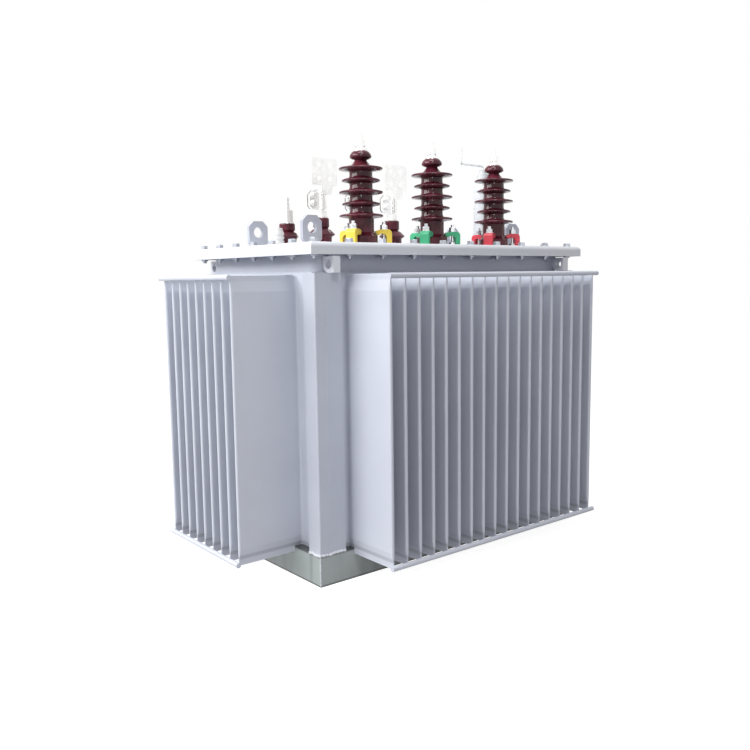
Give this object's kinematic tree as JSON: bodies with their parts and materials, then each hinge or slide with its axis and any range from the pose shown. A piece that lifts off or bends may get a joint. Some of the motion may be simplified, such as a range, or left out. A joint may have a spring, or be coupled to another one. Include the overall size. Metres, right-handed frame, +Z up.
{
  "type": "oil-immersed distribution transformer",
  "caption": "Three-phase transformer with a sealed corrugated tank: fin walls on each side, corner posts, bolted cover, shedded high voltage bushings and flagged low voltage terminals.",
  "frame": {"origin": "middle of the tank's underside, on the ground", "axes": "+X along the long sides, +Y from the high voltage side to the low voltage side, +Z up"},
  "size_m": [1.336, 0.929, 1.1775],
  "materials": {
    "tank_paint": "semi-gloss light grey paint",
    "base_paint": "gloss grey paint",
    "brown_glaze": "glossy brown glaze",
    "tinned_metal": "tinned, satin",
    "zinc_steel": "zinc plated, satin",
    "yellow_paint": "gloss yellow paint",
    "green_paint": "gloss green paint",
    "red_paint": "gloss red paint",
    "pale_plastic": "matt white plastic"
  },
  "bodies": {
    "root": {"tank_base": "base_paint", "tank_shell": "tank_paint", "corner_post_front_left": "tank_paint", "corner_post_front_right": "tank_paint", "corner_post_back_left": "tank_paint", "corner_post_back_right": "tank_paint", "fin_wall_front": "tank_paint", "fin_wall_back": "tank_paint", "fin_wall_left": "tank_paint", "fin_wall_right": "tank_paint", "tie_bars_front": "tank_paint", "tie_bars_back": "tank_paint", "tie_bars_left": "tank_paint", "tie_bars_right": "tank_paint", "rim_flange": "tank_paint", "cover": "tank_paint", "cover_lugs_front": "tank_paint", "cover_lugs_back": "tank_paint", "tank_eyes_front": "tank_paint", "tank_eyes_back": "tank_paint", "hv_bushing_a": "brown_glaze", "hv_bushing_b": "brown_glaze", "hv_bushing_c": "brown_glaze", "hv_terminal_a": "tinned_metal", "hv_terminal_b": "tinned_metal", "hv_terminal_c": "tinned_metal", "hv_claws_a": "yellow_paint", "hv_claws_b": "green_paint", "hv_claws_c": "red_paint", "lv_bushing_n": "brown_glaze", "lv_bushing_a": "brown_glaze", "lv_bushing_b": "brown_glaze", "lv_bushing_c": "brown_glaze", "lv_stud_n": "tinned_metal", "lv_stud_a": "tinned_metal", "lv_stud_b": "tinned_metal", "lv_stud_c": "tinned_metal", "lv_flag_a": "tinned_metal", "lv_flag_b": "tinned_metal", "lv_flag_c": "tinned_metal", "filler_pipe": "tank_paint", "filler_lever": "zinc_steel", "thermometer_pocket": "pale_plastic"}
  },
  "joints": []
}
